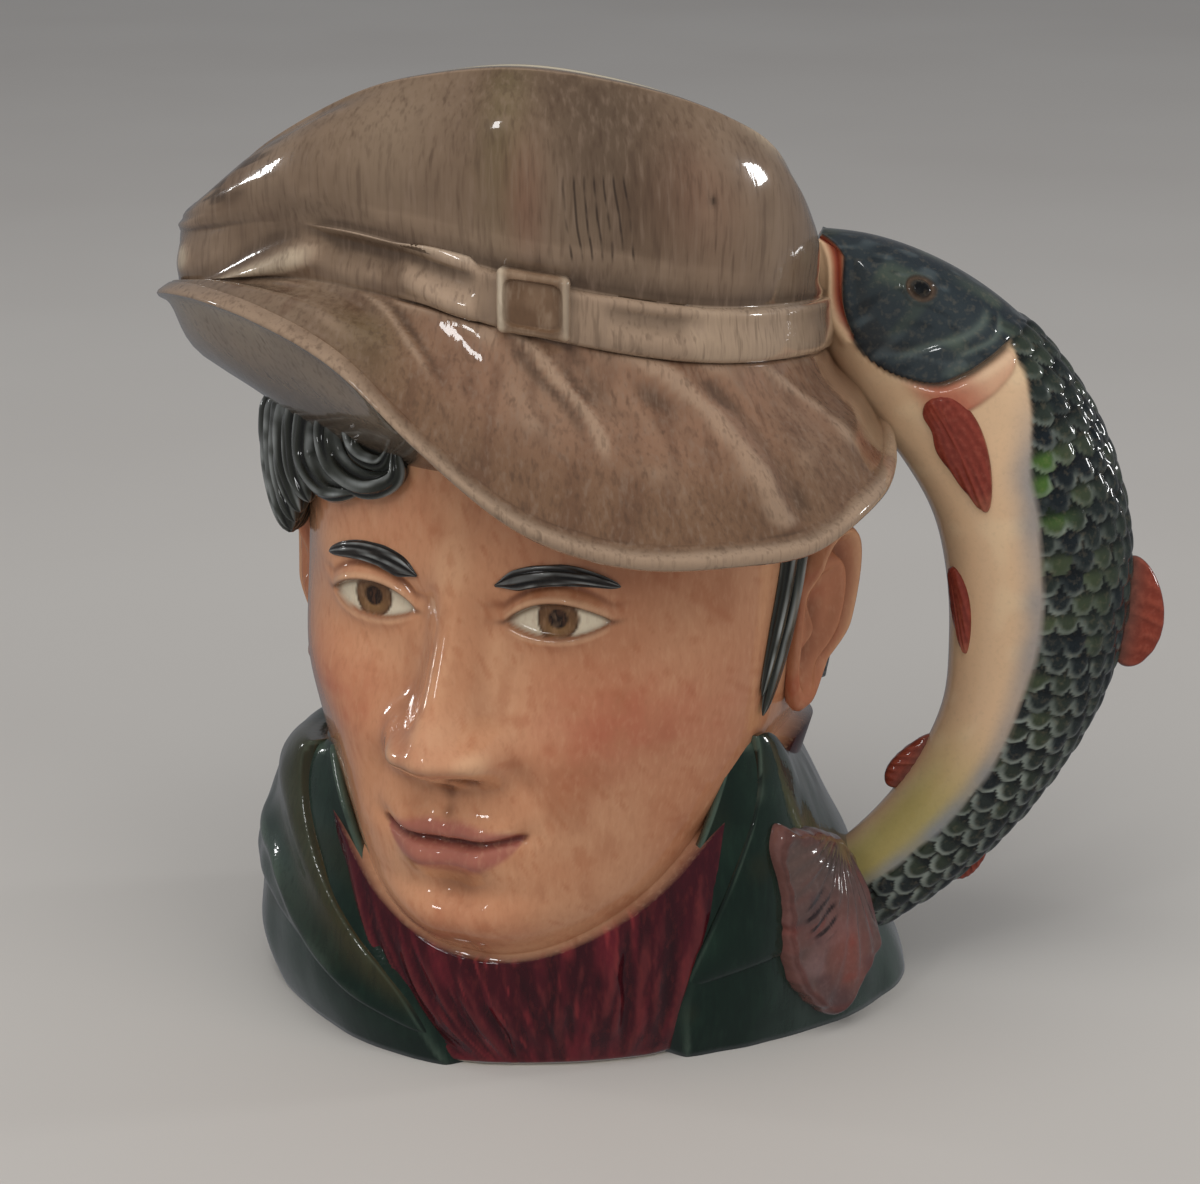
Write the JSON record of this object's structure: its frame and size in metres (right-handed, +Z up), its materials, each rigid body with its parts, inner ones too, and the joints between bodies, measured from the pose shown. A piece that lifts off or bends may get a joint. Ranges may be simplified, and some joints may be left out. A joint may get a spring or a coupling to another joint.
{
  "type": "character jug",
  "caption": "Glazed earthenware character jug: a man's head in a slouch hat, open at the crown, with a fish for its handle.",
  "frame": {"origin": "on the table under the jug, near the middle of its underside", "axes": "+X towards the fish handle, -Y the way the coat opens, +Z up; the face looks 18 degrees to the left of -Y"},
  "size_m": [0.1839, 0.1287, 0.181],
  "materials": {
    "jug": "clear gloss glaze over hand painted colours"
  },
  "bodies": {
    "root": {"jug": "jug"}
  },
  "joints": []
}
